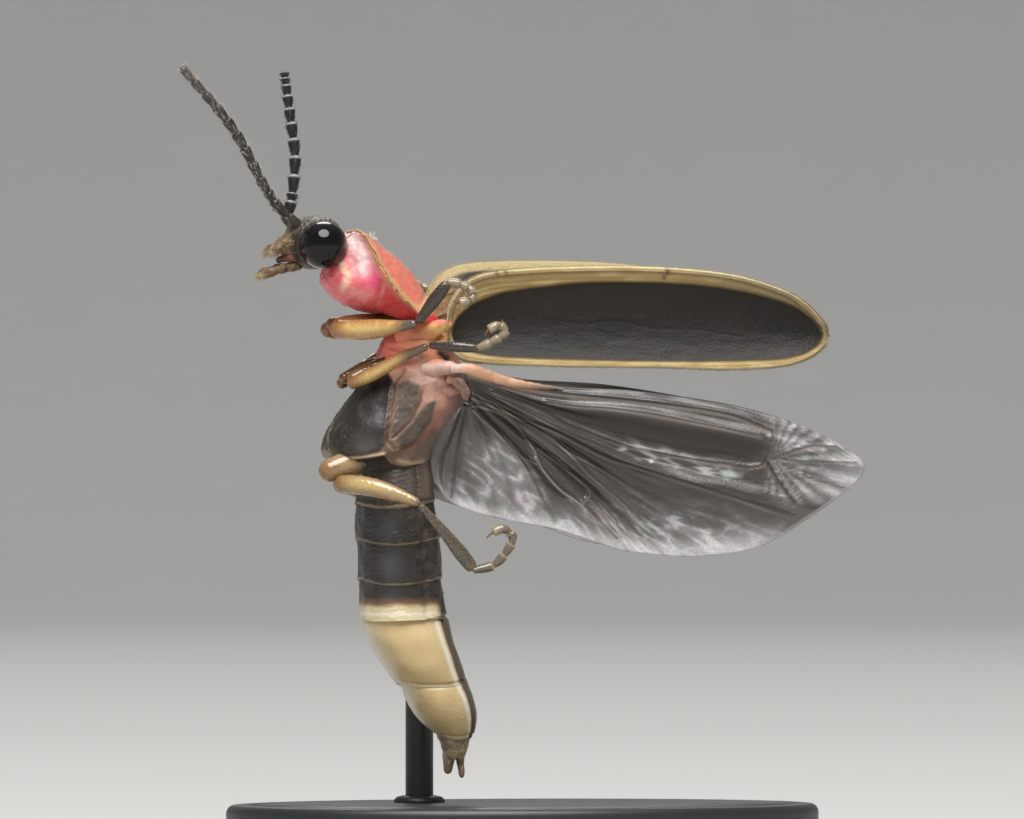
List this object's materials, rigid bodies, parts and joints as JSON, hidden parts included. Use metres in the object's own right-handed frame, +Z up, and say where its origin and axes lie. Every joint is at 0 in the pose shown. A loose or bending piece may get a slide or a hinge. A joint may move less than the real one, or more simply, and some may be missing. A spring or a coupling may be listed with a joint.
{
  "type": "firefly on a display stand",
  "caption": "Firefly in flight with raised wing covers and spread hind wings, pale lantern at the tail, held by a rod over an oval base.",
  "frame": {"origin": "centre of the underside of the stand's base", "axes": "+Z up, the head points to -X and the wing tips to +X, the body's mid-plane is XZ and its left side faces -Y"},
  "size_m": [0.0171, 0.01, 0.0199],
  "materials": {
    "skull": "dark grey-brown, finely pitted, with short pale hair",
    "eye": "glossy black with very fine facets",
    "feeler": "charcoal, closely set with pale bristles",
    "shield": "orange-tan rim and salmon-red disc under short pale hair",
    "rosy": "translucent pink to cream",
    "orange": "orange-brown to pink",
    "chest": "dark brown plates with red-brown seams and pale wing roots",
    "abdomen": "dark brown with narrow tan hind margins",
    "lantern": "waxy cream-tan with white edges",
    "tail": "translucent tan",
    "cover": "near-black with golden-tan rims, finely wrinkled",
    "membrane": "smoky brown membrane with raised dark veins and a silvery sheen",
    "thigh": "golden amber",
    "shin": "dark brown under short pale bristles",
    "stand": "plain black, softly polished"
  },
  "bodies": {
    "root": {"head": "skull", "pronotum": "shield", "prothorax": "rosy", "mesothorax": "orange", "metathorax": "chest", "abdomen": "abdomen", "lantern_front": "lantern", "lantern_rear": "lantern", "tail": "tail", "stand_base": "stand", "stand_rod": "stand", "eye_left": "eye", "antenna_left": "feeler", "elytron_left": "cover", "hindwing_left": "membrane", "foreleg_left_upper": "thigh", "foreleg_left_lower": "shin", "middleleg_left_upper": "thigh", "middleleg_left_lower": "shin", "hindleg_left_upper": "thigh", "hindleg_left_lower": "shin", "eye_right": "eye", "antenna_right": "feeler", "elytron_right": "cover", "hindwing_right": "membrane", "foreleg_right_upper": "thigh", "foreleg_right_lower": "shin", "middleleg_right_upper": "thigh", "middleleg_right_lower": "shin", "hindleg_right_upper": "thigh", "hindleg_right_lower": "shin"}
  },
  "joints": []
}
